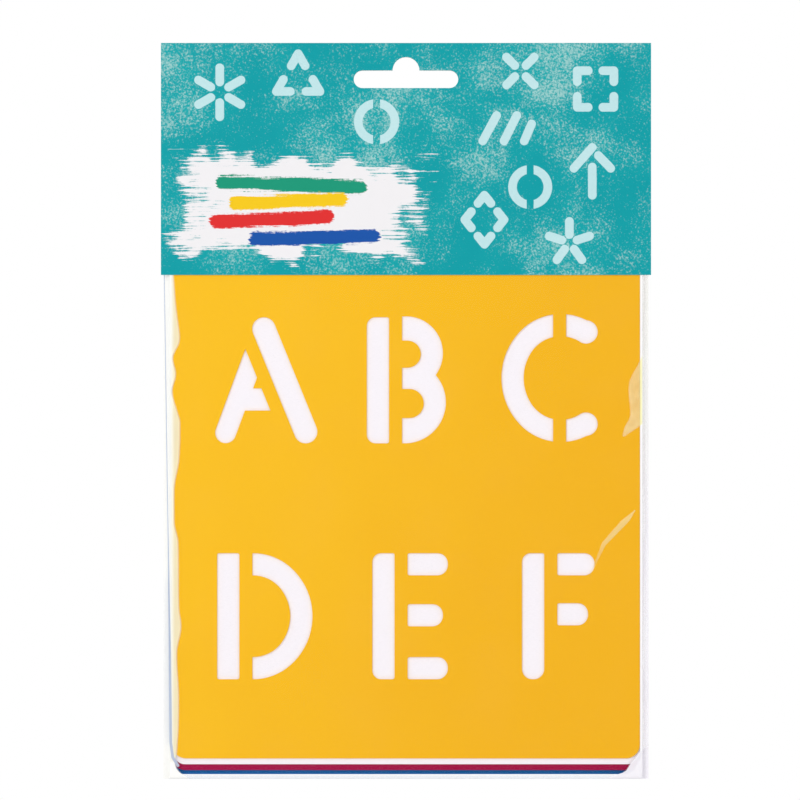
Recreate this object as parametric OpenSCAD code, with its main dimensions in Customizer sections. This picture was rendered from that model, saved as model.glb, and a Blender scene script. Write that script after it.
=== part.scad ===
// Hanging pack of lettering stencils: six plates and a plain backing card stand in a clear
// film bag, and a folded header card with a hang slot closes the bag. Millimetres.
// The origin is the middle of the hang slot. The plates stand in the XZ plane, the front
// of the pack faces -Y and +Z is up.

/* [Stencil plates] */
// Width of a stencil plate
stencil_w = 143.2; // [136:0.1:150]
// Height of a stencil plate
stencil_h = 160; // [150:1:164]
// Thickness of a stencil plate
stencil_t = 0.5; // [0.3:0.05:0.8]
// Radius of the plate's corners
stencil_corner_r = 4.3; // [1:0.1:8]

/* [Lettering] */
// Height of the characters
cap_h = 38.6; // [36:0.1:42]
// Width of a stroke
pen_w = 6.8; // [5.5:0.1:7.2]
// Width of the bridges that hold the islands in place
bridge_w = 4; // [3:0.1:4.5]
// Corner radius of a square stroke end
nib_r = 0.6; // [0.2:0.1:1]
// Radius of the heels of an upright stroke
heel_r = 2.7; // [1:0.1:2.7]
// Distance from one column of characters to the next
col_pitch = 43.5; // [41:0.1:45]
// Distance from one row of characters to the next
row_pitch = 72.2; // [60:0.1:80]
// Height of the lower baseline above the plate's foot
foot_margin = 24.2; // [15:0.1:30]

/* [Backing card] */
// Height of the plain card behind the front plate
card_h = 160; // [150:1:164]
// Thickness of the card
card_t = 0.35; // [0.2:0.05:0.6]
// Radius of the card's corners
card_corner_r = 4; // [1:0.1:8]

/* [Film bag] */
// Length of the bag beyond the height of a plate
bag_spare = 49.1; // [25:0.1:60]
// Thickness of the film
film_t = 0.06; // [0.04:0.01:0.1]
// Width of the welded seam at each side
seal_w = 1.85; // [1:0.05:4]
// Radius of the fold at the bag's foot
fold_r = 0.8; // [0.3:0.1:1.2]
// Free width between a centred plate and the film at its side
side_room = 0.74; // [0.65:0.01:2]
// Running clearance between two sheets
sheet_gap = 0.08; // [0.04:0.01:0.15]

/* [Header card] */
// How far the header card reaches past the bag at each side
header_over = 0.75; // [0:0.05:8]
// Height of the header card from its fold
header_h = 71; // [64:0.5:90]
// Thickness of the board
board_t = 0.35; // [0.25:0.05:0.6]
// Depth of the slot's middle below the fold
slot_drop = 11.1; // [10:0.1:16]
// Gap between the edges that meet at a crease
crease_gap = 0.03; // [0.02:0.01:0.08]

/* [Hang slot] */
// Length of the slot
slot_w = 32; // [24:0.5:40]
// Height of the slot's straight part
slot_h = 5.4; // [4.5:0.1:8]
// Radius of the round crown in which the peg sits
crown_r = 4.1; // [3:0.1:6]
// Distance from the slot down to the mouth of the bag
mouth_drop = 2.3; // [1:0.1:6]

/* [Adhesive strips] */
// Thickness of the double-sided strip
tape_t = 0.1; // [0.05:0.01:0.2]
// Height of the strip
tape_h = 12; // [6:1:20]
// Margin from the strip's end to the side of the bag
tape_margin = 6; // [2:1:20]
// Distance from the header's lower edge up to the strip
tape_lift = 8; // [3:1:20]

/* [Hidden] */
$fn = 96;

// The sheets from front to back: how thick each is, how far its foot hangs above the bag's,
// and how far it has slipped sideways
sheet_t = [stencil_t, card_t, stencil_t, stencil_t, stencil_t, stencil_t, stencil_t];
sheet_lift = [6.2, 4.4, 2.6, 3.4, 3.9, 3.1, 1.3];
sheet_shift = [0, 0.1, -0.2, 0.3, -0.3, 0.2, -0.6];

function depth_of(count) = count == 0 ? 0 : sheet_t[count - 1] + depth_of(count - 1);
inner_depth = depth_of(len(sheet_t)) + (len(sheet_t) + 1) * sheet_gap;

// Places from the middle of the pack out to its faces
inner_y = inner_depth / 2;
film_y = inner_y + film_t;
panel_y = film_y + tape_t;
header_y = panel_y + board_t;
inner_x = stencil_w / 2 + side_room;
bag_x = inner_x + film_t;
seal_x = bag_x + seal_w;
header_x = seal_x + header_over;

// Heights from the hang slot
mouth_z = -slot_h / 2 - mouth_drop;
foot_z = mouth_z - stencil_h - bag_spare;
fold_top_z = foot_z + fold_r;
header_foot_z = slot_drop - header_h;

// The crease bead is a little thicker than the board, as a scored fold is
crease_r = board_t / 2 + crease_gap;
crease_y = panel_y + board_t / 2;
crease_z = slot_drop - crease_r;

function sheet_y(index) = depth_of(index) + (index + 1) * sheet_gap - inner_y;
function sheet_z(index) = foot_z + film_t + sheet_lift[index];

// Measures that the characters share
mid_h = cap_h / 2;
slant_w = pen_w * 1.05;
tip_r = pen_w * 0.47;
rung_z = mid_h - pen_w / 2;
round_w = pen_w * 5.35;
round_h = cap_h + 0.6;
far = 400;

// Flat shape stood upright, with its front face at front_y
module upright(front_y, thickness) {
    translate([0, front_y + thickness, 0])
        rotate([90, 0, 0])
            linear_extrude(thickness)
                children();
}

// Flat shape in the YZ plane, drawn out along X between two faces
module along_x(low_x, high_x) {
    translate([low_x, 0, 0])
        rotate([90, 0, 90])
            linear_extrude(high_x - low_x)
                children();
}

// Box between two corners
module slab(low, high) {
    translate(low) cube(high - low);
}

// Flat block between two corners with a radius for each corner, from the lower left one
// round to the right
module block(x0, z0, x1, z1, r = [nib_r, nib_r, nib_r, nib_r]) {
    c = [
        [x0 + r[0], z0 + r[0]],
        [x1 - r[1], z0 + r[1]],
        [x1 - r[2], z1 - r[2]],
        [x0 + r[3], z1 - r[3]],
    ];
    polygon([
        [x0, c[0].y], [c[0].x, z0], [c[1].x, z0], [x1, c[1].y],
        [x1, c[2].y], [c[2].x, z1], [c[3].x, z1], [x0, c[3].y],
    ]);
    for (i = [0:3])
        if (r[i] > 0)
            translate(c[i]) circle(r = r[i]);
}

// What lies inside a window, open on the sides that are not given
module keep(x0 = -far, z0 = -far, x1 = far, z1 = far) {
    intersection() {
        union() children();
        translate([x0, z0]) square([x1 - x0, z1 - z0]);
    }
}

// Upright stroke over the whole height, with round heels on its left
module stem(x0) {
    block(x0, 0, x0 + pen_w, cap_h, [heel_r, nib_r, nib_r, heel_r]);
}

// Level stroke with a round right end
module arm(x0, z0, x1) {
    block(x0, z0, x1, z0 + pen_w, [nib_r, tip_r, tip_r, nib_r]);
}

// Straight stroke between two points, with round ends
module stroke(from, to, w = pen_w) {
    run = to - from;
    translate(from) rotate(atan2(run.y, run.x)) {
        translate([0, -w / 2]) square([norm(run), w]);
        circle(d = w);
        translate([norm(run), 0]) circle(d = w);
    }
}

// Bridge through a character from top to bottom
module bridge_down(x0 = -bridge_w / 2) {
    translate([x0, -far]) square([bridge_w, far * 2]);
}

// Oval of four arcs that run into each other
module oval(w, h) {
    a = w / 2;
    top_r = a * 0.95;
    rise = h / 2 - top_r;
    side_r = (a * a + rise * rise - top_r * top_r) / (2 * (a - top_r));
    joint_z = rise * side_r / (side_r - top_r);
    intersection() {
        translate([side_r - a, 0]) circle(r = side_r, $fn = 240);
        translate([a - side_r, 0]) circle(r = side_r, $fn = 240);
        square([w * 2, joint_z * 2], center = true);
    }
    for (side = [-1, 1])
        translate([0, side * rise]) circle(r = top_r);
}

module oval_ring(w, h) {
    difference() {
        oval(w, h);
        oval(w - pen_w * 2, h - pen_w * 2);
    }
}

module ring(r) {
    difference() {
        circle(r = r);
        circle(r = r - pen_w);
    }
}

// Pie slice from one angle to another
module sector(from, to) {
    steps = ceil((to - from) / 40);
    polygon(concat(
        [[0, 0]],
        [for (i = [0:steps]) let (a = from + (to - from) * i / steps) far * [cos(a), sin(a)]]
    ));
}

// Part of a round stroke, with a round end at its first or its last angle
module curl(r, from, to, end) {
    intersection() {
        ring(r);
        sector(from, to);
    }
    translate((r - pen_w / 2) * [cos(end), sin(end)]) circle(d = slant_w);
}

// Round eye that runs out to the left
module eye(r) {
    circle(r = r);
    translate([-far, -r]) square([far, r * 2]);
}

// Bowl whose left side is cut off level
module bowl(edge_x, r) {
    keep(x0 = edge_x)
        translate([edge_x + nib_r * 2, cap_h - r])
            difference() {
                circle(r = r);
                eye(r - pen_w);
            }
}

// The two bowls of a B or a 3, the lower one larger
module lobes(edge_x) {
    low_r = (cap_h + pen_w + 5) / 4;
    top_r = low_r - 1.3;
    top_z = cap_h - top_r + 0.3;
    keep(x0 = edge_x)
        translate([edge_x + 1.2, 0])
            difference() {
                union() {
                    translate([0, top_z]) circle(r = top_r);
                    translate([-0.4, low_r]) circle(r = low_r);
                }
                translate([0.4, top_z - 0.3]) eye(top_r - pen_w - 0.35);
                translate([1, low_r - 0.4]) eye(low_r - pen_w - 1.35);
            }
}

// The characters stand on their baseline, each with its column's middle at x = 0

module letter_a() {
    apex = [0, cap_h - slant_w / 2];
    left_foot = [-11.7, slant_w / 2 - 0.3];
    right_foot = [12.8, slant_w / 2];
    rung_low = cap_h * 0.26;
    stroke(right_foot, apex, slant_w);
    difference() {
        union() {
            stroke(left_foot, apex, pen_w * 0.94);
            translate([left_foot.x + pen_w / 2, rung_low]) square([pen_w * 2.1, pen_w]);
        }
        stroke(right_foot, apex, slant_w + bridge_w * 2);
    }
}

module letter_b() {
    left = -12;
    stem(left);
    lobes(left + pen_w + bridge_w);
}

// Open oval of C and G, from which everything between two angles is left out
module open_oval(from, to) {
    difference() {
        oval_ring(round_w, round_h);
        sector(from, to);
        bridge_down(-2.4);
    }
}

module letter_c() {
    end = [7.7, 14.1];
    translate([3.9, mid_h + 0.7]) {
        open_oval(-61.5, 61.5);
        for (side = [-1, 1])
            translate([end.x, side * end.y]) circle(d = slant_w);
    }
}

module letter_d() {
    left = -14.3;
    edge = left + pen_w + bridge_w;
    block(left, 0, left + pen_w, cap_h);
    keep(x0 = edge)
        translate([edge + 0.2, mid_h]) oval_ring(round_w, cap_h);
}

module letter_e() {
    left = -10.3;
    edge = left + pen_w + bridge_w;
    stem(left);
    arm(edge, 0, 12.8);
    arm(edge, rung_z + 0.3, 11.3);
    arm(edge, cap_h - pen_w, 12.8);
}

module letter_f() {
    left = -8;
    edge = left + pen_w + bridge_w;
    block(left, 0, left + pen_w, cap_h, [tip_r, tip_r, nib_r, heel_r]);
    arm(edge, rung_z + 0.6, 12.2);
    arm(edge, cap_h - pen_w, 14.2);
}

module letter_g() {
    end = [7.7, 14.1];
    translate([0, mid_h]) {
        open_oval(0, 61.5);
        translate(end) circle(d = slant_w);
        block(2.4, -pen_w, 14, 0, [nib_r, 0, 0, nib_r]);
    }
}

module letter_h() {
    side = 13.5;
    stem(-side);
    mirror([1, 0]) stem(-side);
    translate([pen_w + bridge_w - side, rung_z])
        square([side * 2 - pen_w * 1.5 - bridge_w, pen_w]);
}

module letter_i() {
    block(-pen_w / 2, 0, pen_w / 2, cap_h, [tip_r, tip_r, tip_r, tip_r]);
}

module letter_j() {
    hook_r = 10.8;
    translate([-1, hook_r]) curl(hook_r, -165, 0, -165);
    block(hook_r - 1 - pen_w, hook_r + bridge_w, hook_r - 1, cap_h);
}

module letter_k() {
    left = -12;
    edge = left + pen_w + bridge_w;
    knee = [2.5, mid_h];
    stem(left);
    keep(x0 = edge) {
        stroke(knee, [10, cap_h - slant_w / 2]);
        stroke(knee, [10.6, slant_w / 2]);
    }
}

module letter_l() {
    left = -11;
    stem(left);
    arm(left + pen_w + bridge_w, 0, 12);
}

module letter_m() {
    side = 17;
    edge = side - pen_w - bridge_w;
    stem(-side);
    mirror([1, 0]) stem(-side);
    keep(-edge, 0, edge, cap_h)
        for (lean = [-1, 1])
            stroke([0, 12.5], [lean * 7, cap_h + 2]);
}

module letter_n() {
    side = 15.5;
    edge = side - pen_w - bridge_w;
    stem(-side);
    mirror([1, 0]) stem(-side);
    keep(x0 = -edge, x1 = edge) stroke([-8.5, cap_h - 2], [8.5, 2]);
}

module letter_o() {
    translate([0, mid_h])
        difference() {
            oval_ring(round_w, round_h);
            bridge_down();
        }
}

module letter_p() {
    left = -12;
    stem(left);
    bowl(left + pen_w + bridge_w, 11.6);
}

module letter_q() {
    tail_from = [6.5, 10.5];
    tail_to = [14.6, 2.2];
    difference() {
        translate([0, mid_h]) oval_ring(round_w, round_h);
        keep(z0 = mid_h) bridge_down();
        stroke(tail_from, tail_to, pen_w + bridge_w * 2);
    }
    stroke(tail_from, tail_to);
}

module letter_r() {
    left = -12;
    edge = left + pen_w + bridge_w;
    bowl_r = 11.6;
    stem(left);
    bowl(edge, bowl_r);
    keep(x0 = edge, z1 = cap_h - bowl_r * 2 - bridge_w)
        stroke([-2, 16.5], [10.6, slant_w / 2]);
}

module letter_s() {
    r = (cap_h + pen_w) / 4;
    difference() {
        union() {
            translate([0, cap_h - r]) curl(r, 30, 270, 30);
            translate([0, r]) curl(r, -150, 90, -150);
        }
        for (z = [-1, cap_h - pen_w - 1])
            translate([-bridge_w / 2, z]) square([bridge_w, pen_w + 2]);
    }
}

module letter_t() {
    half = 13;
    block(-half, cap_h - pen_w, half, cap_h, [tip_r, tip_r, tip_r, tip_r]);
    block(-pen_w / 2, 0, pen_w / 2, cap_h - pen_w - bridge_w, [tip_r, tip_r, nib_r, nib_r]);
}

module letter_u() {
    r = 13.2;
    difference() {
        union() {
            translate([0, r]) keep(z1 = 0) ring(r);
            for (x = [-r, r - pen_w])
                block(x, r, x + pen_w, cap_h, [0, 0, nib_r, nib_r]);
        }
        bridge_down();
    }
}

module letter_v() {
    foot = [0, slant_w / 2];
    left = [-11.5, cap_h - slant_w / 2];
    right = [11.5, cap_h - slant_w / 2];
    stroke(left, foot);
    difference() {
        stroke(right, foot);
        stroke(left, foot, pen_w + bridge_w * 2);
    }
}

module letter_w() {
    top = [16.5, cap_h - slant_w / 2];
    foot = [9, slant_w / 2];
    peak = [0, cap_h * 0.76];
    for (side = [0, 1])
        mirror([side, 0]) stroke(top, foot);
    difference() {
        for (side = [0, 1])
            mirror([side, 0]) stroke(foot, peak);
        for (side = [0, 1])
            mirror([side, 0]) stroke(top, foot, pen_w + bridge_w * 2);
    }
}

module letter_x() {
    top = cap_h - slant_w / 2;
    foot = slant_w / 2;
    stroke([-11, top], [11, foot]);
    difference() {
        stroke([11, top], [-11, foot]);
        stroke([-11, top], [11, foot], pen_w + bridge_w * 2);
    }
}

module letter_y() {
    fork = [0, 19];
    for (side = [-1, 1])
        stroke([side * 11.5, cap_h - slant_w / 2], fork);
    block(-pen_w / 2, 0, pen_w / 2, fork.y - pen_w / 2 - bridge_w, [tip_r, tip_r, nib_r, nib_r]);
}

module letter_z() {
    half = 12;
    block(-half, 0, half, pen_w, [nib_r, tip_r, tip_r, nib_r]);
    block(-half, cap_h - pen_w, half, cap_h, [tip_r, nib_r, nib_r, tip_r]);
    keep(z0 = pen_w + bridge_w, z1 = cap_h - pen_w - bridge_w)
        stroke([-11, 3], [11, cap_h - 3]);
}

module digit_0() {
    translate([0, mid_h])
        difference() {
            oval_ring(round_w * 0.8, round_h);
            bridge_down();
        }
}

module digit_1() {
    left = -0.4;
    block(left, 0, left + pen_w, cap_h);
    keep(x1 = left - bridge_w)
        stroke([-9, cap_h - 11.5], [0, cap_h - 2.5]);
}

module digit_2() {
    r = 11.8;
    turn = -30;
    half = 12;
    bend = (r - pen_w / 2) * [cos(turn), sin(turn)] + [0, cap_h - r];
    translate([0, cap_h - r]) curl(r, turn, 165, 165);
    keep(z0 = pen_w + bridge_w) stroke(bend, [-9, 5], slant_w);
    block(-half, 0, half, pen_w, [nib_r, tip_r, tip_r, nib_r]);
}

module digit_3() {
    edge = -2;
    left = -12.5;
    lobes(edge);
    for (z = [0, cap_h - pen_w])
        block(left, z, edge - bridge_w, z + pen_w, [tip_r, nib_r, nib_r, tip_r]);
}

module digit_4() {
    left = 3.5;
    rung_low = 8;
    block(left, 0, left + pen_w, cap_h);
    keep(x1 = left - bridge_w) {
        block(-13, rung_low, left, rung_low + pen_w);
        stroke([-9.2, rung_low + pen_w * 0.6], [0, cap_h - slant_w / 2]);
    }
}

module digit_5() {
    r = 12.2;
    left = -10.5;
    block(left, cap_h - pen_w, -left, cap_h, [0, tip_r, tip_r, nib_r]);
    block(left, r + pen_w, left + pen_w, cap_h - pen_w, [nib_r, nib_r, 0, 0]);
    translate([-1.5, r]) curl(r, -150, 78, -150);
}

module digit_6() {
    r = 12.4;
    difference() {
        union() {
            translate([0, r]) ring(r);
            translate([-r, r]) square([pen_w, cap_h - r * 2]);
            translate([0, cap_h - r]) curl(r, 50, 180, 50);
        }
        bridge_down(-1);
    }
}

module digit_7() {
    half = 11.5;
    block(-half, cap_h - pen_w, half, cap_h, [tip_r, nib_r, nib_r, tip_r]);
    keep(z1 = cap_h - pen_w - bridge_w)
        stroke([9.6, cap_h - 4], [-3.5, slant_w / 2]);
}

module digit_8() {
    low_r = (cap_h + pen_w + 5) / 4;
    top_r = low_r - 1.3;
    difference() {
        union() {
            translate([0, cap_h - top_r]) circle(r = top_r);
            translate([0, low_r]) circle(r = low_r);
        }
        translate([0, cap_h - top_r]) circle(r = top_r - pen_w);
        translate([0, low_r]) circle(r = low_r - pen_w);
        bridge_down();
    }
}

module digit_9() {
    translate([0, cap_h]) rotate(180) digit_6();
}

// Plain sheet with round corners, standing on its foot
module sheet_outline(h, corner_r) {
    block(-stencil_w / 2, 0, stencil_w / 2, h, [corner_r, corner_r, corner_r, corner_r]);
}

// One plate with six characters, three above three
module stencil(index) {
    upright(sheet_y(index), stencil_t)
        translate([sheet_shift[index], sheet_z(index)])
            difference() {
                sheet_outline(stencil_h, stencil_corner_r);
                for (place = [0:5])
                    translate([
                        (place % 3 - 1) * col_pitch,
                        foot_margin + (place < 3 ? row_pitch : 0),
                    ])
                        children(place);
            }
}

module stencil_a_f() {
    color("#fabf2b") stencil(0) {
        letter_a();
        letter_b();
        letter_c();
        letter_d();
        letter_e();
        letter_f();
    }
}

module backing_card() {
    color("white")
        upright(sheet_y(1), card_t)
            translate([sheet_shift[1], sheet_z(1)])
                sheet_outline(card_h, card_corner_r);
}

module stencil_g_l() {
    color("#cc2440") stencil(2) {
        letter_g();
        letter_h();
        letter_i();
        letter_j();
        letter_k();
        letter_l();
    }
}

module stencil_m_r() {
    color("#3fa34d") stencil(3) {
        letter_m();
        letter_n();
        letter_o();
        letter_p();
        letter_q();
        letter_r();
    }
}

module stencil_s_x() {
    color("#f08223") stencil(4) {
        letter_s();
        letter_t();
        letter_u();
        letter_v();
        letter_w();
        letter_x();
    }
}

module stencil_y_4() {
    color("#a01450") stencil(5) {
        letter_y();
        letter_z();
        digit_1();
        digit_2();
        digit_3();
        digit_4();
    }
}

module stencil_5_0() {
    color("#145aa5") stencil(6) {
        digit_5();
        digit_6();
        digit_7();
        digit_8();
        digit_9();
        digit_0();
    }
}

// Hang slot with a round crown above its middle
module hang_slot() {
    half = (slot_w - slot_h) / 2;
    square([half * 2, slot_h], center = true);
    for (side = [-1, 1])
        translate([side * half, 0]) circle(d = slot_h);
    translate([0, slot_h / 2]) circle(r = crown_r);
}

module header_panel(low_z, high_z) {
    difference() {
        translate([-header_x, low_z]) square([header_x * 2, high_z - low_z]);
        hang_slot();
    }
}

// Rounded bead of a scored crease, along the whole header
module crease_bead(y) {
    translate([-header_x, y, crease_z])
        rotate([0, 90, 0])
            cylinder(r = crease_r, h = header_x * 2);
}

module header_front_panel() {
    color("#05a0a8") {
        upright(-header_y, board_t) header_panel(header_foot_z, crease_z);
        crease_bead(-crease_y);
    }
}

module header_spine() {
    color("#05a0a8") {
        slab(
            [-header_x, -crease_y + crease_r + crease_gap, crease_z - board_t / 2],
            [header_x, crease_y, crease_z + board_t / 2]
        );
        crease_bead(crease_y);
    }
}

module header_back_panel() {
    color("#05a0a8")
        upright(panel_y, board_t)
            header_panel(header_foot_z, crease_z - crease_r - crease_gap);
}

// Strip between the film and a header panel, on the front of the pack
module tape_strip() {
    low_z = header_foot_z + tape_lift;
    half = bag_x - tape_margin;
    slab([-half, -panel_y, low_z], [half, -film_y, low_z + tape_h]);
}

module front_tape() {
    color("whitesmoke") tape_strip();
}

module back_tape() {
    color("whitesmoke") mirror([0, 1, 0]) tape_strip();
}

// Film in front of the sheets
module bag_film() {
    slab([-bag_x, -film_y, fold_top_z], [bag_x, -inner_y, mouth_z]);
}

module bag_front_film() {
    color("aliceblue", 0.3) bag_film();
}

module bag_back_film() {
    color("aliceblue", 0.3) mirror([0, 1, 0]) bag_film();
}

// Side of the bag, where both films turn in to the welded seam that stands out beside it
module side_seal() {
    slab([inner_x, -inner_y, fold_top_z], [bag_x, inner_y, mouth_z]);
    slab([bag_x, -film_t, foot_z], [seal_x, film_t, mouth_z]);
}

module bag_left_seal() {
    color("lavender", 0.5) mirror([1, 0, 0]) side_seal();
}

module bag_right_seal() {
    color("lavender", 0.5) side_seal();
}

// Trough in which the film turns from the front of the pack to its back
module bag_bottom_fold() {
    inner_r = fold_r - film_t;
    inner_z = foot_z + film_t;
    above_z = fold_top_z + fold_r;
    color("aliceblue", 0.3)
        difference() {
            along_x(-bag_x, bag_x)
                keep(z1 = fold_top_z)
                    block(-film_y, foot_z, film_y, above_z, [fold_r, fold_r, 0, 0]);
            along_x(-inner_x, inner_x)
                block(-inner_y, inner_z, inner_y, above_z, [inner_r, inner_r, 0, 0]);
        }
}

header_front_panel();
header_spine();
header_back_panel();
front_tape();
back_tape();
bag_front_film();
bag_back_film();
bag_left_seal();
bag_right_seal();
bag_bottom_fold();
stencil_a_f();
backing_card();
stencil_g_l();
stencil_m_r();
stencil_s_x();
stencil_y_4();
stencil_5_0();
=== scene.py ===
# %% [markdown]
# # A hanging pack of lettering stencils
#
# The object is a flat pack that hangs on a shop's peg: six stencil plates of thin satin
# plastic and a plain white card stand in a clear film bag, and a printed header card is
# folded over the bag's mouth. The CAD model brings every rigid sheet with its real joints,
# so this script gives those sheets their finishes, and models the one soft thing, the bag,
# as creased film. Sizes are in metres, the front of the pack faces -Y, and the origin is
# the middle of the hang slot.

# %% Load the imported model
import math
from types import SimpleNamespace

import bpy
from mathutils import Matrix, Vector, noise


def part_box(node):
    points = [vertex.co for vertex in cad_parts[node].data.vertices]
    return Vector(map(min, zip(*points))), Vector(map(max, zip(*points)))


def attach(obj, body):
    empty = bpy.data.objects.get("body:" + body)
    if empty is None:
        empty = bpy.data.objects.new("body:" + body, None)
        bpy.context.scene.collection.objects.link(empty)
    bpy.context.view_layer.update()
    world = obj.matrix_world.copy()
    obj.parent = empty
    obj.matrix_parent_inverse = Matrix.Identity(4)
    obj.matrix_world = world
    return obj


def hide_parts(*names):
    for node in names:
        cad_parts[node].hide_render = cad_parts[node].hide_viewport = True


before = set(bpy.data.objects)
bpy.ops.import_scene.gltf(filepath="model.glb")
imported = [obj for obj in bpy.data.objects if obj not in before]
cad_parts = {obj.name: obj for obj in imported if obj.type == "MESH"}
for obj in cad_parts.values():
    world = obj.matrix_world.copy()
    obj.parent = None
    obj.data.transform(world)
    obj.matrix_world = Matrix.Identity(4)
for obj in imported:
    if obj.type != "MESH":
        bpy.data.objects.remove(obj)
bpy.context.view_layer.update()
bpy.ops.object.select_all(action="DESELECT")
print("CAD nodes:", ", ".join(sorted(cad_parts)))

# %% [markdown]
# ## Measures of the pack
#
# Nothing is fitted by eye: the places come from the CAD nodes themselves. A node's box gives
# its lowest and highest corner, so the film's planes, the bag's mouth and foot and the lower
# edge of the header card are all read from there.

# %% Read the places that the film has to meet
MM = 0.001


def span(node, axis):
    """Lowest and highest place of a CAD node along X, Y or Z."""
    low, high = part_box(node)
    return low["XYZ".index(axis)], high["XYZ".index(axis)]


film_low, film_inner = span("bag_front_film", "Y")
film_y = -(film_low + film_inner) / 2
film_t = film_inner - film_low
fold_top_z, mouth_z = span("bag_front_film", "Z")
foot_z = span("bag_bottom_fold", "Z")[0]
bag_x = span("bag_front_film", "X")[1]
seal_x = span("bag_right_seal", "X")[1]
header_foot_z = span("header_front_panel", "Z")[0]
print(f"film at {film_y / MM:.2f} mm from the middle, {film_t / MM:.2f} mm thick")
print(f"bag {2 * seal_x / MM:.1f} mm wide, from {foot_z / MM:.1f} to {mouth_z / MM:.1f} mm")

# %% [markdown]
# ## Node trees in a few words
#
# Every finish here is procedural, so its node tree is built in code. Writing out each link
# would hide the idea, so small helpers do the wiring. The first adds a node and fills its
# sockets: a socket is linked, and a number is typed in. The second does arithmetic, and the
# third takes a vector apart.

# %% Helpers that wire nodes


def add(tree, kind, inputs=None, **settings):
    """Adds a node, with its settings, and links or fills the named inputs."""
    made = tree.nodes.new("ShaderNode" + kind)
    for name, value in settings.items():
        setattr(made, name, value)
    for key, value in (inputs or {}).items():
        if isinstance(value, bpy.types.NodeSocket):
            tree.links.new(value, made.inputs[key])
        else:
            made.inputs[key].default_value = value
    return made


def calc(tree, operation, *values, clamp=False):
    """The result of a Math node on sockets or numbers."""
    numbers = dict(enumerate(values))
    return add(tree, "Math", numbers, operation=operation, use_clamp=clamp).outputs[0]


def axes(tree, vector):
    """The X, Y and Z of a vector."""
    return add(tree, "SeparateXYZ", {0: vector}).outputs[:]


print("wiring helpers:", add.__name__, calc.__name__, axes.__name__)

# %% [markdown]
# ## Colours, borders and clouds
#
# Most finishes are the same few moves: a colour from the screen, a blend of two colours, a
# smooth border, a noise, and a height that catches the light. Each is one short function, and
# a last one starts a material with the object's own place in millimetres. Object coordinates
# keep a pattern on its piece when the piece moves.

# %% Helpers for finishes


def srgb(red, green, blue):
    """A screen colour from 0 to 255 as the linear colour that a shader takes."""
    parts = [c / 255 for c in (red, green, blue)]
    linear = [c / 12.92 if c <= 0.04045 else ((c + 0.055) / 1.055) ** 2.4 for c in parts]
    return (*linear, 1.0)


def blend(tree, share, first, second):
    """First colour where share is 0, second where it is 1."""
    mix = add(tree, "Mix", {0: share, 6: first, 7: second}, data_type="RGBA")
    return mix.outputs[2]


def fade(tree, value, start, end):
    """0 at start, 1 at end and smooth between them."""
    limits = {"Value": value, "From Min": start, "From Max": end}
    return add(tree, "MapRange", limits, interpolation_type="SMOOTHSTEP").outputs["Result"]


def cloud(tree, point, scale, detail=2.0, roughness=0.5):
    """Noise from 0 to 1 on a point; scale is in clouds per millimetre."""
    settings = {"Vector": point, "Scale": scale, "Detail": detail, "Roughness": roughness}
    return add(tree, "TexNoise", settings).outputs["Fac"]


def raise_by(tree, shader, height, strength, depth):
    """Lets a height catch the light; depth is in metres."""
    bump = add(tree, "Bump", {"Height": height, "Strength": strength, "Distance": depth})
    tree.links.new(bump.outputs["Normal"], shader.inputs["Normal"])


def new_finish(name):
    """A material with its Principled shader and the object's own place in millimetres."""
    material = bpy.data.materials.new(name)
    material.use_nodes = True
    tree = material.node_tree
    place = {0: add(tree, "TexCoord").outputs["Object"], "Scale": 1 / MM}
    millimetres = add(tree, "VectorMath", place, operation="SCALE").outputs[0]
    return material, tree, tree.nodes["Principled BSDF"], millimetres


print("colour helper:", [round(c, 3) for c in srgb(250, 191, 43)])

# %% [markdown]
# ## Satin plastic plates
#
# The plates are stamped from thin polypropylene sheet. Up close such a sheet isn't one flat
# colour: the pigment drifts a little, and the rolled surface has a fine grain that breaks up
# the gloss. One builder makes the finish in any colour, with a slow noise for the pigment
# and a fine one for the grain. The shine is kept low, since the photographed plates look
# deep in colour and only softly lit.

# %% Plate finish
corner_tint = (0.94, 0.86, 0.8, 1.0)
pigment_scale, pigment_reach = 0.03, 60.0
grain_scale, grain_depth = 4.0, 0.04 * MM


def plate_plastic(name, colour):
    """Satin sheet plastic in one colour, a little deeper towards its lower right corner."""
    material, tree, shader, point = new_finish(name)
    deep = tuple(c * tint for c, tint in zip(colour, corner_tint))
    x, _, z = axes(tree, point)
    # Every plate is made darker and warmer towards its lower right corner along a straight
    # slope. The slow noise added to it is the pigment's unevenness.
    slope = calc(tree, "MULTIPLY_ADD", z, -0.35, x)
    uneven = calc(tree, "MULTIPLY", cloud(tree, point, pigment_scale, 3.0), pigment_reach)
    drift = fade(tree, calc(tree, "ADD", slope, uneven), -20.0, 150.0)
    tree.links.new(blend(tree, drift, colour, deep), shader.inputs["Base Color"])
    grain = cloud(tree, point, grain_scale, 2.0)
    rough = add(tree, "MapRange", {"Value": grain, "To Min": 0.38, "To Max": 0.46})
    tree.links.new(rough.outputs["Result"], shader.inputs["Roughness"])
    raise_by(tree, shader, grain, 0.03, grain_depth)
    shader.inputs["Specular IOR Level"].default_value = 0.1
    return material


print("plate finish ready")

# %% [markdown]
# ## The plates' colours
#
# The photograph shows the yellow plate and the lower edges of a red and a blue one. The three
# between them get colours that such sets have. A CAD node keeps its shape and changes only
# the material in its slots.

# %% Dress the plates
plate_colours = {
    "stencil_a_f": ("yellow_sheet", srgb(250, 193, 26)),
    "stencil_g_l": ("red_sheet", srgb(163, 8, 71)),
    "stencil_m_r": ("green_sheet", srgb(52, 160, 74)),
    "stencil_s_x": ("orange_sheet", srgb(240, 124, 30)),
    "stencil_y_4": ("magenta_sheet", srgb(166, 22, 92)),
    "stencil_5_0": ("blue_sheet", srgb(24, 112, 192)),
}


def dress(node, material):
    """Gives a CAD node one material in place of its own."""
    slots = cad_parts[node].data.materials
    slots.clear()
    slots.append(material)


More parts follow.
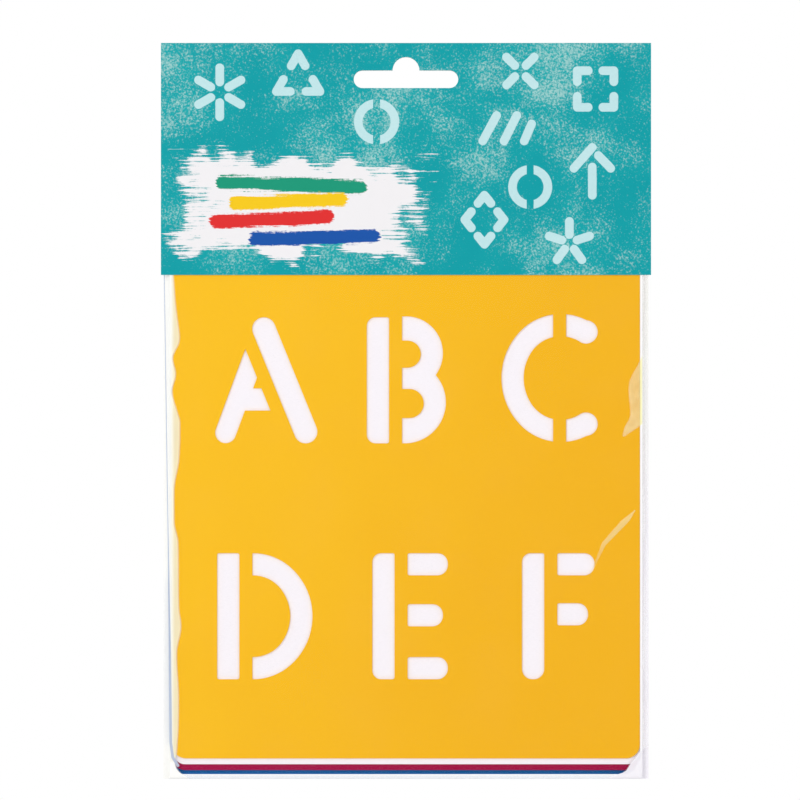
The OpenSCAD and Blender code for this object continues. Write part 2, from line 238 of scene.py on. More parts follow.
for node, (name, colour) in plate_colours.items():
    dress(node, plate_plastic(name, colour))
print("plates dressed:", len(plate_colours))

# %% [markdown]
# ## The white backing card
#
# A sheet of white board behind the front plate makes its letters read. Uncoated board is
# matt, faintly warm and fibrous: one noise, stretched along the sheet, gives the fibres.

# %% Backing card finish
fibre_stretch = (0.6, 1.0, 3.0)
fibre_depth = 0.03 * MM


def white_board(name, colour):
    """Uncoated board with fibres."""
    material, tree, shader, point = new_finish(name)
    stretched = add(tree, "Mapping", {"Vector": point, "Scale": fibre_stretch}).outputs[0]
    fibres = cloud(tree, stretched, 1.6, 4.0, 0.65)
    greyer = tuple(c * 0.955 for c in colour[:3]) + (1.0,)
    tone = blend(tree, fade(tree, fibres, 0.35, 0.7), colour, greyer)
    tree.links.new(tone, shader.inputs["Base Color"])
    raise_by(tree, shader, fibres, 0.15, fibre_depth)
    shader.inputs["Roughness"].default_value = 0.8
    shader.inputs["Specular IOR Level"].default_value = 0.2
    return material


dress("backing_card", white_board("backing_board", srgb(250, 246, 252)))
print("card dressed")

# %% [markdown]
# ## One painted stroke, as a node group
#
# The header card is printed like sponged paint, with pale shapes dabbed through a stencil.
# All its shapes come from one idea: a point belongs to a stroke where its distance to a line
# between two ends is less than half the stroke's width. That distance is worth a group of
# its own, since the print uses it many times: project the point on the line, keep the
# projection between the ends, and measure how far the point is from there.

# %% Distance to a stroke


def stroke_group():
    """A node group that measures a point's distance to the line between two ends."""
    group = bpy.data.node_groups.new("stroke distance", "ShaderNodeTree")
    for name in ("Point", "From", "To"):
        group.interface.new_socket(name, in_out="INPUT", socket_type="NodeSocketVector")
    group.interface.new_socket("Distance", in_out="OUTPUT", socket_type="NodeSocketFloat")
    given = group.nodes.new("NodeGroupInput").outputs
    result = group.nodes.new("NodeGroupOutput")

    def vector(operation, first, second, output=0):
        made = add(group, "VectorMath", {0: first, 1: second}, operation=operation)
        return made.outputs[output]

    reach = vector("SUBTRACT", given["Point"], given["From"])
    line = vector("SUBTRACT", given["To"], given["From"])
    projected = vector("DOT_PRODUCT", reach, line, 1)
    length_squared = vector("DOT_PRODUCT", line, line, 1)
    along = calc(group, "DIVIDE", projected, length_squared, clamp=True)
    foot = add(group, "VectorMath", {0: line, "Scale": along}, operation="SCALE").outputs[0]
    group.links.new(vector("DISTANCE", reach, foot, 1), result.inputs["Distance"])
    return group


stroke_distance = stroke_group()


def strokes(tree, point, lines):
    """Distance to the nearest of several strokes, each (x, z, x, z) in millimetres."""
    nearest = None
    for x0, z0, x1, z1 in lines:
        ends = {"Point": point, "From": (x0, 0, z0), "To": (x1, 0, z1)}
        distance = add(tree, "Group", ends, node_tree=stroke_distance).outputs["Distance"]
        nearest = distance if nearest is None else calc(tree, "MINIMUM", nearest, distance)
    return nearest


print("group made:", stroke_distance.name, len(stroke_distance.nodes), "nodes")

# %% [markdown]
# ## What is printed on the header card
#
# The card's print is a design of its own in the colours of such packs: a teal sponged
# ground, a patch of white dry brush with four strokes of paint on it, and pale shapes as if
# dabbed through a stencil: stars, a triangle, a square, rings, a cross, slanted lines, an
# arrow and a diamond. They are plain lists of strokes in millimetres, drawn around zero, so a
# shape can be moved by its centre.

# %% The print's shapes


def around(x, z, size, lines):
    """Moves a shape that is drawn around zero to its place, at its size."""
    return [(x + a * size, z + b * size, x + c * size, z + d * size) for a, b, c, d in lines]


def rays(count, inner, turn=0.0):
    """Strokes that run outwards like the arms of a star."""
    angles = [math.radians(turn + 360 * i / count) for i in range(count)]
    return [
        (inner * math.sin(a), inner * math.cos(a), math.sin(a), math.cos(a)) for a in angles
    ]


def loop(corners, gap):
    """Outline through corners, open in the middle of each side as a stencil needs."""
    lines = []
    for (x0, z0), (x1, z1) in zip(corners, corners[1:] + corners[:1]):
        half = (1 - gap) / 2
        lines.append((x0, z0, x0 + (x1 - x0) * half, z0 + (z1 - z0) * half))
        lines.append((x1, z1, x1 - (x1 - x0) * half, z1 - (z1 - z0) * half))
    return lines


triangle = loop([(0, 0.9), (0.95, -0.75), (-0.95, -0.75)], 0.36)
square = loop([(-0.8, 0.8), (0.8, 0.8), (0.8, -0.8), (-0.8, -0.8)], 0.4)
diamond = loop([(0, 1), (0.8, 0), (0, -1), (-0.8, 0)], 0.34)
slanted_lines = [(-1, -0.6, -0.35, 0.6), (0, -0.6, 0.6, 0.6), (0.95, -0.6, 1.3, 0.2)]
arrow = [(0, -1, 0, 0.15), (-0.75, 0.1, 0, 0.95), (0.75, 0.1, 0.25, 0.62)]
mint_shapes = (
    around(-57, -4, 7.5, rays(6, 0.42))
    + around(-33, 1.5, 7.0, triangle)
    + around(30, -15, 6.5, slanted_lines)
    + around(35, 2.5, 6.0, rays(4, 0.4, 45))
    + around(58, -3, 7.0, square)
    + around(57, -28, 7.5, arrow)
    + around(24, -43, 7.5, diamond)
    + around(50, -50, 6.5, rays(5, 0.38))
)
mint_rings = [(-9, -13, 5.6), (38, -33, 5.4)]
paint_strokes = [
    ((-56, -31.5, -14, -33), srgb(22, 150, 118)),
    ((-52, -38, -20, -36.8), srgb(244, 200, 24)),
    ((-58, -43.5, -24, -42.2), srgb(222, 46, 46)),
    ((-46, -49, -10, -48), srgb(20, 82, 166)),
]
print("strokes in the pale shapes:", len(mint_shapes))

# %% [markdown]
# ## The sponged ground
#
# The print is mixed layer by layer, as the inks would be, and the ground comes first. A
# sponge leaves pale speckles that crowd in some places. So a fine noise makes the speckles,
# and two slower ones say where they come through.

# %% Sponged ground


def centred_cloud(tree, point, *settings):
    """Noise around zero, which moves a border to and fro."""
    return calc(tree, "SUBTRACT", cloud(tree, point, *settings), 0.5)


def sponged_ground(tree, point, grain):
    """Teal ink with the pale speckles of a sponge."""
    patches = cloud(tree, point, 0.035, 3.0, 0.55)
    teal = fade(tree, patches, 0.35, 0.75)
    ink = blend(tree, teal, srgb(0, 156, 164), srgb(16, 168, 172))
    dabs = calc(tree, "MULTIPLY", cloud(tree, point, 0.12, 4.0, 0.6), 0.35)
    speckle = calc(tree, "ADD", grain, calc(tree, "MULTIPLY_ADD", patches, 0.6, dabs))
    speckle = calc(tree, "MULTIPLY", fade(tree, speckle, 0.97, 1.2), 0.66)
    return blend(tree, speckle, ink, srgb(190, 222, 216))


print("ground ready")

# %% [markdown]
# ## Dry brush and paint
#
# A nearly dry brush leaves a white patch whose ends are torn along its bristles. The patch is
# a distance to a rectangle, and noise that is added before the distance is compared tears its
# edge: one noise stretched along the bristles, a fine one and a slow one. The strokes of
# paint are made the same way.

# %% Dry brush and paint strokes
patch_x, patch_z = -33, -39
patch_half_width, patch_half_height = 32, 14
paint_half_width = (2.3, 1.9)


def past(tree, value, middle, half):
    """How far a value lies outside middle minus half to middle plus half."""
    from_middle = calc(tree, "ABSOLUTE", calc(tree, "SUBTRACT", value, middle))
    return calc(tree, "SUBTRACT", from_middle, half)


def dry_brush(tree, ink, flat, edge):
    """A white patch with ragged ends, and strokes of paint on it."""
    x, _, z = axes(tree, flat)
    streaks = add(tree, "Mapping", {"Vector": flat, "Scale": (0.05, 1.0, 1.3)}).outputs[0]
    bristles = centred_cloud(tree, streaks, 1.0, 4.0, 0.7)
    wander = centred_cloud(tree, flat, 0.07, 2.0)
    sideways = calc(tree, "MULTIPLY", past(tree, x, patch_x, patch_half_width), 0.45)
    outside = calc(tree, "MAXIMUM", sideways, past(tree, z, patch_z, patch_half_height))
    for noise_around_zero, reach in ((bristles, 16.0), (edge, 2.4), (wander, 20.0)):
        outside = calc(tree, "MULTIPLY_ADD", noise_around_zero, reach, outside)
    ink = blend(tree, fade(tree, outside, 0.6, -0.6), ink, srgb(240, 238, 240))
    for line, colour in paint_strokes:
        reach = calc(tree, "MULTIPLY_ADD", bristles, 4.0, strokes(tree, flat, [line]))
        reach = calc(tree, "ADD", reach, edge)
        ink = blend(tree, fade(tree, reach, *paint_half_width), ink, colour)
    return ink


print("paint strokes:", len(paint_strokes))

# %% [markdown]
# ## Pale shapes
#
# The shapes lie on top, as if dabbed through a stencil, so their edges are nearly sharp and
# the ground shows through a little. The rings are distances to a circle, cut by a bridge at
# the top and at the bottom.

# %% Pale shapes
shape_half_width = (1.42, 1.22)
bridge_half_width, bridge_slope = 2.6, 1.2


def dabbed_shapes(tree, ink, flat, edge):
    """The pale shapes and the two rings, which have a bridge at top and bottom."""
    x = axes(tree, flat)[0]
    reach = strokes(tree, flat, mint_shapes)
    for ring_x, ring_z, radius in mint_rings:
        centre = {0: flat, 1: (ring_x, 0, ring_z)}
        middle = add(tree, "VectorMath", centre, operation="DISTANCE").outputs[1]
        ring = calc(tree, "ABSOLUTE", calc(tree, "SUBTRACT", middle, radius))
        sideways = calc(tree, "ABSOLUTE", calc(tree, "SUBTRACT", x, ring_x))
        sideways = calc(tree, "MULTIPLY", sideways, bridge_slope)
        bridge = calc(tree, "SUBTRACT", bridge_half_width, sideways)
        reach = calc(tree, "MINIMUM", reach, calc(tree, "MAXIMUM", ring, bridge))
    reach = calc(tree, "MULTIPLY_ADD", edge, 0.18, reach)
    dabbed = calc(tree, "MULTIPLY", fade(tree, reach, *shape_half_width), 0.9)
    return blend(tree, dabbed, ink, srgb(200, 233, 236))


print("rings:", len(mint_rings))

# %% [markdown]
# ## Printed on one side only
#
# Only the outer face of the card is printed, and the cut edges and the inside stay white
# board. On the outer faces, the product of the normal and the place along Y is positive. The
# normal has to turn with the flap, so it is brought into the object's own axes first. The
# spine is printed on its top, which is higher than the panels' cut edges.

# %% Header print
spine_top_z = 10.5


def outer_face(tree, point):
    """1 on the outer faces of the folded card, and 0 on its inside and its edges."""
    _, y, z = axes(tree, point)
    facing = add(tree, "NewGeometry").outputs["True Normal"]
    turned = dict(vector_type="NORMAL", convert_from="WORLD", convert_to="OBJECT")
    facing = add(tree, "VectorTransform", {0: facing}, **turned).outputs[0]
    _, normal_y, normal_z = axes(tree, facing)
    outer = calc(tree, "GREATER_THAN", calc(tree, "MULTIPLY", normal_y, y), 0.8)
    on_top = calc(tree, "GREATER_THAN", normal_z, 0.3)
    above = calc(tree, "GREATER_THAN", z, spine_top_z)
    return calc(tree, "MAXIMUM", outer, calc(tree, "MULTIPLY", on_top, above))


def printed_board(name, with_shapes):
    """Coated board with the sponged print on its outer face."""
    material, tree, shader, point = new_finish(name)
    x, _, z = axes(tree, point)
    flat = add(tree, "CombineXYZ", {"X": x, "Z": z}).outputs[0]
    grain = cloud(tree, point, 1.5, 4.0, 0.75)
    edge = calc(tree, "MULTIPLY", centred_cloud(tree, point, 0.9, 5.0, 0.8), 1.6)
    ink = sponged_ground(tree, point, grain)
    if with_shapes:
        ink = dry_brush(tree, ink, flat, edge)
        ink = dabbed_shapes(tree, ink, flat, edge)
    colour = blend(tree, outer_face(tree, point), srgb(236, 235, 232), ink)
    tree.links.new(colour, shader.inputs["Base Color"])
    raise_by(tree, shader, grain, 0.1, fibre_depth)
    shader.inputs["Roughness"].default_value = 0.42
    shader.inputs["Specular IOR Level"].default_value = 0.12
    return material


front_print = printed_board("header_print_front", True)
plain_print = printed_board("header_print_plain", False)
dress("header_front_panel", front_print)
dress("header_spine", plain_print)
dress("header_back_panel", plain_print)
print("header print:", len(front_print.node_tree.nodes), "nodes")

# %% [markdown]
# ## Adhesive strips
#
# Under the header card, a strip of double-sided tape on each side holds the film. It shows
# only when the flap is open: a tissue carrier in clear glue, slightly yellow and cloudy.

# %% Tape finish


def tissue_tape(name):
    """Cloudy tissue tape."""
    material, tree, shader, point = new_finish(name)
    fibres = fade(tree, cloud(tree, point, 1.2, 5.0, 0.7), 0.35, 0.65)
    tone = blend(tree, fibres, srgb(238, 234, 218), srgb(226, 220, 200))
    tree.links.new(tone, shader.inputs["Base Color"])
    shader.inputs["Roughness"].default_value = 0.45
    return material


tape = tissue_tape("tissue_tape")
dress("front_tape", tape)
dress("back_tape", tape)
print("tapes dressed")

# %% [markdown]
# ## Where glare is painted on the film
#
# Where the film is bent over the plates' edge, or pinched in a crease, it mirrors the lamps, and
# this glare is painted into the film as milky white.
# The photograph shows these places with crisp, crooked borders. So each border is a table of
# points, (height, place across) in millimetres, and a Float Curve turns it into a border
# along the pack. A crease is a row of strokes, as in the print.

# %% Borders and creases
# Borders of the painted glare at the left and at the right, as (height, place across) in
# millimetres.
left_glare_border = [
    (-60.0, -71.0), (-70.0, -70.2), (-76.1, -69.4), (-79.2, -69.1), (-81.3, -69.5),
    (-83.0, -70.4), (-85.4, -71.2), (-90.2, -70.3), (-95.5, -71.4), (-98.3, -70.9),
    (-101.2, -70.0), (-105.4, -69.0), (-116.2, -69.3), (-126.4, -70.8), (-135.0, -70.8),
    (-141.4, -69.6), (-162.3, -69.3), (-167.2, -68.7), (-176.0, -70.0), (-189.8, -69.4),
    (-205.9, -70.0), (-209.0, -70.4), (-211.5, -69.6), (-214.0, -66.0),
]
right_glare_border = [
    (-60.0, 75.0), (-84.0, 72.4), (-94.8, 68.2), (-102.4, 68.7), (-107.0, 66.8),
    (-109.4, 66.4), (-110.5, 75.0), (-150.0, 75.0), (-203.0, 75.0), (-205.6, 71.8),
    (-207.6, 70.2), (-209.3, 68.8), (-210.6, 68.0), (-211.7, 67.2), (-212.8, 64.6),
    (-214.0, 60.0),
]
# The creases are painted as well: a bluish reflection along the left one, and a pale glint along
# the pinch.
left_crease = [
    (-74.0, -60, -73.1, -123), (-73.1, -123, -72.3, -172), (-72.3, -172, -72.0, -203),
    (-72.0, -203, -71.4, -207.5), (-71.4, -207.5, -69.8, -210),
]
pinch = [
    (70.0, -132.0, 65.2, -137.2), (65.2, -137.2, 60.6, -142.2), (60.6, -142.2, 56.2, -152.0),
]
curve_half_width = 80.0


def border(tree, z, table):
    """A border along the pack: for a height, the place across it, from a table of points."""
    low_z, high_z = table[-1][0], table[0][0]
    low_x, wide = -curve_half_width, 2 * curve_half_width
    span_z = {"Value": z, "From Min": low_z, "From Max": high_z}
    curve = add(tree, "FloatCurve", {"Value": add(tree, "MapRange", span_z).outputs["Result"]})
    points = curve.mapping.curves[0].points
    ordered = [((h - low_z) / (high_z - low_z), (x - low_x) / wide) for h, x in sorted(table)]
    for at in ordered[1:-1]:
        points.new(*at)
    points[0].location = ordered[0]
    points[len(points) - 1].location = ordered[-1]
    for point in points:
        point.handle_type = "AUTO_CLAMPED"
    curve.mapping.update()
    return calc(tree, "MULTIPLY_ADD", curve.outputs["Value"], wide, low_x)


print("points in the borders:", len(left_glare_border) + len(right_glare_border))

# %% [markdown]
# ## Clear film, as a shader
#
# Thin film lets nearly all light through, and shows by what it mirrors. A Transparent and a
# Glossy shader mixed by Fresnel do just that: faint when seen square on, bright at a slant.
# Seen square on, the photographed film hardly mirrors, so that share is taken down a little.
# Where the film is cloudy, and where glare is painted on it as milky white, a Principled shader
# takes over by that share. A look through the film meets its outer and its inner side, so all of
# this is kept to the side that faces the viewer. Otherwise light would be caught between the
# two.

# %% Film shader
film_ior = 1.45
mirror_gain, mirror_offset = 1.03, -0.029


def over(tree, film, mask, strength, colour):
    """Lays a cloudy zone over the film so far, which is its share of haze and painted glare and
    its colour.
    """
    haze_and_glare, tint = film
    zone = calc(tree, "MULTIPLY", mask, strength)
    return calc(tree, "MAXIMUM", haze_and_glare, zone), blend(tree, mask, tint, colour)


def film_shader(tree, shader, film):
    """Clear film with its cloudy zones and painted glare, from a Principled shader for both."""
    haze_and_glare, tint = film
    tree.links.new(tint, shader.inputs["Base Color"])
    through = add(tree, "BsdfTransparent").outputs[0]
    mirror = add(tree, "BsdfAnisotropic", {"Roughness": 0.12}).outputs[0]
    fresnel = add(tree, "Fresnel", {"IOR": film_ior}).outputs[0]
    shine = calc(tree, "MULTIPLY_ADD", fresnel, mirror_gain, mirror_offset, clamp=True)
    outer = calc(tree, "SUBTRACT", 1.0, add(tree, "NewGeometry").outputs["Backfacing"])
    shine = calc(tree, "MULTIPLY", shine, outer)
    clear = add(tree, "MixShader", {0: shine, 1: through, 2: mirror}).outputs[0]
    # The share taken by the Principled shader: the haze and the welds' cloudiness, and the
    # painted glare and painted reflections of the front and the foot.
    cloudy = calc(tree, "MULTIPLY", haze_and_glare, outer)
    whole = add(tree, "MixShader", {0: cloudy, 1: clear, 2: shader.outputs[0]})
    tree.links.new(whole.outputs[0], tree.nodes["Material Output"].inputs["Surface"])


print("film mirrors at an index of", film_ior)

# %% [markdown]
# ## The welded bands
#
# At both sides the film is welded to itself in a narrow band. Heat leaves it a little
# cloudy, with streaks that run along the pack, and the jaws leave fine ribs across it.

# %% Weld finish
streak_scale = (2.2, 0.0, 0.05)
rib_depth = 0.05 * MM


def welded_bands(tree, shader, film, at, weld_x):
    """Cloudy, streaked and ribbed film outside weld_x, in millimetres."""
    welded = calc(tree, "GREATER_THAN", calc(tree, "ABSOLUTE", at.x), weld_x)
    stretched = add(tree, "Mapping", {"Vector": at.point, "Scale": streak_scale}).outputs[0]
    streaks = fade(tree, cloud(tree, stretched, 1.0, 2.0), 0.35, 0.65)
    height = fade(tree, at.z, -150.0, -80.0)
    lilac = blend(tree, height, srgb(243, 238, 250), srgb(246, 245, 240))
    on_right = calc(tree, "GREATER_THAN", at.x, 0.0)
    tint = blend(tree, on_right, srgb(253, 252, 250), lilac)
    wave = {"Vector": at.point, "Scale": 0.55, "Distortion": 0.6}
    ribs = add(tree, "TexWave", wave, bands_direction="Z").outputs["Fac"]
    raise_by(tree, shader, calc(tree, "MULTIPLY", ribs, welded), 0.3, rib_depth)
    return over(tree, film, welded, calc(tree, "MULTIPLY_ADD", streaks, 0.16, 0.2), tint)


print("crimp ribs", rib_depth / MM, "mm deep")

# %% [markdown]
# ## The left side of the front
#
# At the left, the film is bent over the plates' edge, and its glare there is painted as a strip:
# cream inside, where the yellow plate shines through, and white outside. A bluish crease line, a
# painted reflection as well, widens downwards.

# %% Left side of the front


def left_painted_glare(tree, film, at, lay):
    """The painted glare at the left: the strip on the bent film and its crease line."""
    inside = calc(tree, "SUBTRACT", border(tree, at.z, left_glare_border), at.x)
    at_foot = fade(tree, at.z, -207.0, -209.5)
    outwards = calc(tree, "MAXIMUM", fade(tree, at.x, -70.4, -72.6), at_foot)
    depth = calc(tree, "MULTIPLY_ADD", outwards, 0.24, 0.72)
    # The painted glare is cream inside and nearly white outside.
    cream = blend(tree, outwards, srgb(255, 253, 216), srgb(254, 254, 251))
    film = lay(film, fade(tree, inside, -0.2, 0.6), depth, cream)
    wide = calc(tree, "MULTIPLY", fade(tree, at.z, -130.0, -200.0), 0.3)
    reach = calc(tree, "SUBTRACT", strokes(tree, at.flat, left_crease), wide)
    return lay(film, fade(tree, reach, 0.22, 0.04), 0.9, srgb(184, 197, 220))


print("strokes in the left crease:", len(left_crease))

# %% [markdown]
# ## The right side of the front
#
# At the right, the film's glare is painted on it: a white rim, a milky patch half way up, a
# milky lower corner, and a fine glint along a crease where the film is pinched. The patch ends
# in a slant below, so a sloping line cuts it off there, and a noise makes it uneven.

# %% Right side of the front
rim_x = 72.0


def right_painted_glare(tree, film, at, lay):
    """The painted glare at the right: the white rim, the milky patch, the lower corner and the
    pinched crease.
    """
    from_rim = calc(tree, "ABSOLUTE", calc(tree, "SUBTRACT", at.x, rim_x))
    film = lay(film, fade(tree, from_rim, 0.45, 0.3), 0.92, srgb(254, 253, 254))

    outside = calc(tree, "SUBTRACT", at.x, border(tree, at.z, right_glare_border))
    low = fade(tree, at.z, -202.0, -203.5)
    slant = calc(tree, "ADD", at.z, calc(tree, "MULTIPLY_ADD", at.x, -0.7, 62.0))
    above = calc(tree, "MULTIPLY", fade(tree, slant, -94.5, -93.7), fade(tree, at.x, 72.4, 72.2))
    either = calc(tree, "MAXIMUM", above, low)
    patch = calc(tree, "MULTIPLY", fade(tree, outside, -0.3, 0.3), either)
    uneven = fade(tree, cloud(tree, at.point, 0.16, 2.0), 0.3, 0.7)
    depth = calc(tree, "MULTIPLY_ADD", uneven, 0.2, 0.34)
    depth = calc(tree, "MAXIMUM", depth, calc(tree, "MULTIPLY", low, 0.9))
    # The patch's painted glare is cream, and the lower corner's painted reflection is a pale
    # lilac white.
    tint = blend(tree, low, srgb(255, 250, 190), srgb(246, 243, 250))
    film = lay(film, patch, depth, tint)

    tapered = (fade(tree, at.z, -154.0, -134.5), fade(tree, at.z, -131.6, -135.5))
    wide = calc(tree, "MULTIPLY", calc(tree, "MULTIPLY", *tapered), 0.75)
    reach = calc(tree, "SUBTRACT", strokes(tree, at.flat, pinch), wide)
    fading = calc(tree, "MULTIPLY_ADD", fade(tree, at.z, -154.0, -138.0), 0.34, 0.08)
    return lay(film, fade(tree, reach, 0.25, 0.05), fading, srgb(255, 253, 184))


print("strokes in the pinch:", len(pinch))

# %% [markdown]
# ## One finish for the whole bag
#
# The bag is one piece, so its zones are laid over each other in one finish: a trace of haze, a
# painted bluish reflection on the fold at the foot, the welded bands and the painted glare on
# the front. Front and back lie almost in the same place at the welds, so the finish asks the
# bag's own UV map which side it is on: V runs down the front and up the back.

# %% Bag finish


def bag_film(name, weld_x):
    """Clear film of the whole bag; weld_x is where its welded bands begin, in millimetres."""
    material, tree, shader, point = new_finish(name)
    x, _, z = axes(tree, point)
    flat = add(tree, "CombineXYZ", {"X": x, "Z": z}).outputs[0]
    at = SimpleNamespace(point=point, flat=flat, x=x, z=z)
    along = axes(tree, add(tree, "TexCoord").outputs["UV"])[1]
    front = calc(tree, "LESS_THAN", along, 0.5)
    shader.inputs["Roughness"].default_value = 0.3

    def lay(film, mask, strength, colour):
        return over(tree, film, calc(tree, "MULTIPLY", mask, front), strength, colour)

    haze = fade(tree, cloud(tree, point, 0.05, 3.0), 0.4, 0.8)
    film = calc(tree, "MULTIPLY", haze, 0.006), srgb(250, 249, 252)
    # The fold at the foot gets a painted bluish reflection.
    film = over(tree, film, fade(tree, z, -212.7, -213.3), 0.2, srgb(226, 232, 248))
    film = welded_bands(tree, shader, film, at, weld_x)
    film = left_painted_glare(tree, film, at, lay)
    film = right_painted_glare(tree, film, at, lay)
    film_shader(tree, shader, film)
    return material


bag_finish = bag_film("clear_film", bag_x / MM - 0.05)
print("bag finish:", len(bag_finish.node_tree.nodes), "nodes")

# %% [markdown]
# ## The path that the bag is lofted along
#
# The bag is one sheet of film: it runs down the front of the pack, turns round two small
# bends under the plates' feet, runs up the back, and is welded to itself at both sides. So it
# is lofted as one skin. Its path is seen from the side of the pack: each step says how far
# across the pack it is, as a share from -1 at the front film to 1 at the back film, and how
# high.

# %% Path from the front of the mouth to the back of the mouth
bend_r = fold_top_z - foot_z - film_t / 2
row_step = 2 * MM
bend_turns = 7


def loft_path():
    """Steps (share across, height) down the front, round the foot and up the back."""
    rows = round((mouth_z - fold_top_z) / row_step)
    down = [(-1.0, mouth_z + (fold_top_z - mouth_z) * i / rows) for i in range(rows)]
    for i in range(bend_turns + 1):
        angle = math.radians(90 * i / bend_turns)
        across = 1 - bend_r * (1 - math.cos(angle)) / film_y
        down.append((-across, fold_top_z - bend_r * math.sin(angle)))
    return down + [(-share, height) for share, height in reversed(down)]


path = loft_path()
print("steps along the bag:", len(path))

# %% [markdown]
# ## The bag's width, column by column
#
# Across the pack, the columns crowd where the shape changes fast. The outermost ones are the
# welded bands, where both sides lie flat on each other. Within a fifth of a millimetre the
# film then opens to the full depth of the bag, by the shares in the list of openings.

# %% Columns across the bag
half_width = bag_x / MM
weld_steps = [seal_x / MM, seal_x / MM - 0.5, half_width + 0.7, half_width + 0.06]
opening = [0.016, 0.7, 0.96, 0.992]
edge_steps = [0.0, 0.015, 0.05, 0.14, 0.8, 1.6, 2.4, 3.2, 4.2, 5.6, 7.4, 9.6]
edge_steps += [12.4, 16, 20, 25, 31, 38, 46, 55, 64]
right_half = weld_steps + [half_width - s for s in edge_steps]
columns = [-x for x in right_half] + [0.0] + right_half[::-1]
print("columns across the bag:", len(columns))

# %% [markdown]
# ## Swell, wrinkles and a wavy weld
#
# From its edge the film swells a little over the plates, with slanting tension wrinkles that
# start at the weld and die out inwards, and a slow unevenness. Under the header card and at
# the foot it lies flat. The weld itself waves a little, as hot-cut film does. All of it is
# stated in millimetres, as a height over the flat film.

# %% Shape of the skin
weld_waves = [(0.22, 21.0, 0.0), (0.12, 7.3, 1.0)]
bulge_height, bulge_at, bulge_width = 0.20, 3.0, 2.6
wrinkle_height, wrinkle_length, wrinkle_slant, wrinkle_reach = 0.08, 3.4, 0.35, 9.0
loose_height = 0.16


def ramp(value, length):
    """0 up to zero, 1 from length on, and straight between them."""
    return min(1.0, max(0.0, value / length))


def seam_wave(z):
    """How far the weld waves out of the middle plane at a height, in millimetres."""
    hanging = ramp(mouth_z / MM - z, 30.0)
    return hanging * sum(high * math.sin(z / long + turn) for high, long, turn in weld_waves)


def swell(from_edge, x, z, side):
    """How far the skin stands proud of the flat film, in millimetres."""
    flat_zones = ramp(header_foot_z / MM - z, 9.0) * ramp(z - foot_z / MM, 5.0)
    seed = 5.5 + 2.5 * side
    bulge = bulge_height * math.exp(-(((from_edge - bulge_at) / bulge_width) ** 2))
    drift = 2.2 * noise.noise(Vector((0, seed, z / 17)))
    turn = z / wrinkle_length + wrinkle_slant * from_edge + seed + drift
    wrinkle = wrinkle_height * math.sin(turn) * math.exp(-from_edge / wrinkle_reach)
    loose = loose_height * (0.5 + noise.noise(Vector((x / 30, seed, z / 42))))
    return max(0.0, bulge + wrinkle + loose) * flat_zones * min(1.0, from_edge / 0.8)


def skin_point(column, share, height):
    """A point of the bag in metres, from its column, its share across and its height."""
    x, z = columns[column], height / MM
    step = min(column, len(columns) - 1 - column) - len(weld_steps)
    side = -1 if share < 0 else 1
    if step < 0:
        return Vector((x, share * opening[0] * film_y / MM + seam_wave(z), z)) * MM
    wall = opening[step] if step < len(opening) else 1.0
    lean = seam_wave(z) if step == 0 else 0.0
    proud = side * swell(half_width - abs(x), x, z, side)
    return Vector((x, share * wall * film_y / MM + proud + lean, z)) * MM


print(f"weld waves {seam_wave(-130.0):.2f} mm out at half height")

# %% [markdown]
# ## The film bag
#
# A cloth simulation suits padded fabric. This film is stretched tight over the plates and
# only its edges move, so its shape is easier to state than to simulate. A grid primitive
# gives the rows and columns and a UV map, and each vertex is moved to its place on the loft.
# Solidify then makes it real film with a thickness, and the bag stays open at its mouth.

# %% Film bag
bpy.ops.object.select_all(action="DESELECT")
bpy.ops.mesh.primitive_grid_add(
    x_subdivisions=len(columns) - 1, y_subdivisions=len(path) - 1, size=2
)
film_bag = bpy.context.object
film_bag.name = film_bag.data.name = "film_bag"
for vertex in film_bag.data.vertices:
    column = round((vertex.co.x + 1) / 2 * (len(columns) - 1))
    step = round((vertex.co.y + 1) / 2 * (len(path) - 1))
    vertex.co = skin_point(column, *path[step])

bpy.ops.object.mode_set(mode="EDIT")
bpy.ops.mesh.select_all(action="SELECT")
bpy.ops.mesh.flip_normals()
bpy.ops.object.mode_set(mode="OBJECT")
thick = film_bag.modifiers.new("film thickness", "SOLIDIFY")
thick.thickness = film_t
thick.offset = 0.0
bpy.ops.object.modifier_apply(modifier=thick.name)
bpy.ops.object.shade_smooth_by_angle(angle=math.radians(40))
film_bag.data.materials.append(bag_finish)
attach(film_bag, "pack")
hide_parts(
    "bag_front_film",
    "bag_back_film",
    "bag_bottom_fold",
    "bag_left_seal",
    "bag_right_seal",
)
print("film bag:", len(film_bag.data.polygons), "faces")

# %% [markdown]
# ## Floor
#
# The pack hangs above a pale floor, which catches its soft shadow. It is a disc so large that
# its rim stays far away.

# %% Floor
floor_z, floor_radius = -0.30, 1.2
bpy.ops.object.select_all(action="DESELECT")
bpy.ops.mesh.primitive_circle_add(
    vertices=96, radius=floor_radius, fill_type="NGON", location=(0, 0, floor_z)
)
floor = bpy.context.object
floor.name = "floor"
bpy.ops.object.transform_apply(location=True)
floor_finish, tree, shader, point = new_finish("pale_floor")
uneven = fade(tree, cloud(tree, point, 0.004, 2.0), 0.3, 0.7)
tone = blend(tree, uneven, (0.93, 0.93, 0.94, 1), (0.9, 0.9, 0.91, 1))
tree.links.new(tone, shader.inputs["Base Color"])
shader.inputs["Roughness"].default_value = 0.7
floor.data.materials.append(floor_finish)
print("floor at", round(floor.bound_box[0][2], 3))

# %% [markdown]
# ## Sky
#
# Most of the light is a plain sky, so that no side falls into the dark. The camera and the
# mirroring film see it as pure white. Light Path tells those looks from the light that the
# sky sheds, which is weaker, so that the white card doesn't burn out.

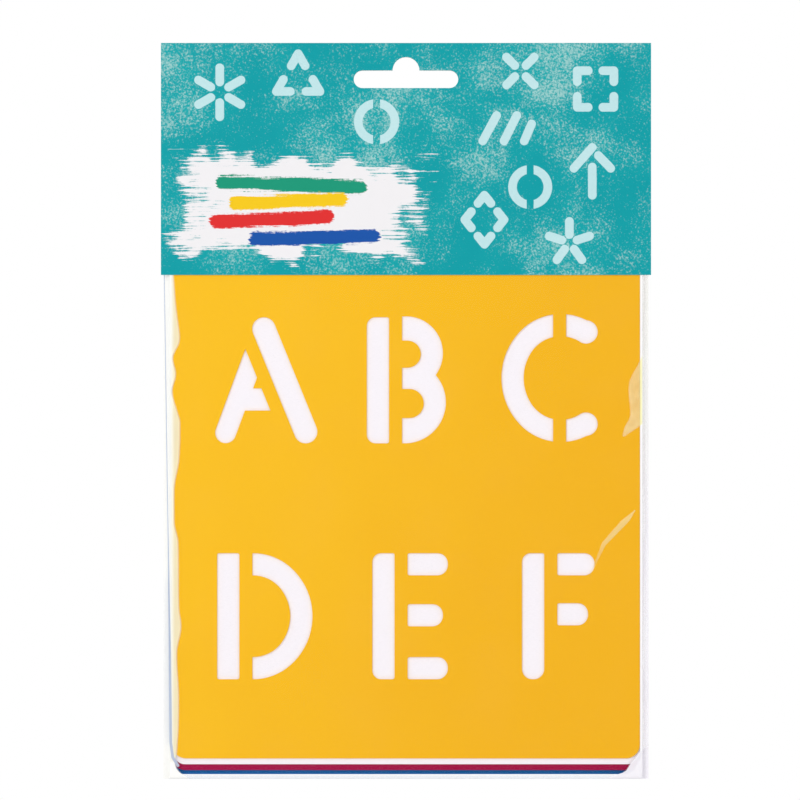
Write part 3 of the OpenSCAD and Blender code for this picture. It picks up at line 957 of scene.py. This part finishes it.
# %% Sky
sky_strength = 0.645
world = bpy.data.worlds.new("soft_sky")
bpy.context.scene.world = world
world.use_nodes = True
sky = world.node_tree
sky.nodes.clear()
light_path = add(sky, "LightPath").outputs
seen = calc(sky, "MAXIMUM", light_path["Is Camera Ray"], light_path["Is Glossy Ray"])
seen = calc(sky, "MAXIMUM", seen, light_path["Is Transmission Ray"])
strength = calc(sky, "MULTIPLY_ADD", seen, 1 - sky_strength, sky_strength)
white = add(sky, "Background", {"Color": (1, 1, 1, 1), "Strength": strength}).outputs[0]
sky.links.new(white, sky.nodes.new("ShaderNodeOutputWorld").inputs["Surface"])
print("sky lights at", sky_strength)

# %% [markdown]
# ## Lamps
#
# A tall soft lamp at the left models the film and a weaker one at the right fills in. A third
# one lights the back, which is seen when the pack is turned.

# %% Lamps
pack_middle = (0, 0, -0.1)


def soft_lamp(name, place, size, watts):
    """A rectangular soft lamp that looks at the middle of the pack."""
    data = bpy.data.lights.new(name, "AREA")
    data.shape = "RECTANGLE"
    data.size, data.size_y = size
    data.energy = watts
    lamp = bpy.data.objects.new(name, data)
    bpy.context.scene.collection.objects.link(lamp)
    lamp.location = place
    aim = Vector(pack_middle) - Vector(place)
    lamp.rotation_euler = aim.to_track_quat("-Z", "Y").to_euler()


soft_lamp("tall_key", (-0.75, -1.5, 0.25), (0.45, 1.1), 8.4)
soft_lamp("fill", (1.0, -1.3, 0.1), (0.6, 0.9), 3.1)
soft_lamp("back_light", (0.9, 1.7, 0.6), (0.8, 0.8), 6.0)

# %% [markdown]
# ## Camera
#
# The photographed pack shows no depth at all, so the camera stands square in front of it, far
# away and with a long lens. The lens follows from how much of the pack's plane the
# photograph takes in.

# %% Camera
photo_width = 0.2448
photo_middle_x, photo_middle_z = -0.001836, -0.098165
pack_front_y = -0.0025
camera_distance = 5.0
camera_data = bpy.data.cameras.new("camera")
camera_data.sensor_width = 36.0
camera_data.lens = camera_data.sensor_width * camera_distance / photo_width
camera = bpy.data.objects.new("camera", camera_data)
bpy.context.scene.collection.objects.link(camera)
camera.location = (photo_middle_x, pack_front_y - camera_distance, photo_middle_z)
camera.rotation_euler = (math.radians(90), 0, 0)
bpy.context.scene.camera = camera
bpy.context.scene.view_settings.view_transform = "Standard"
print("lens:", round(camera_data.lens), "mm")
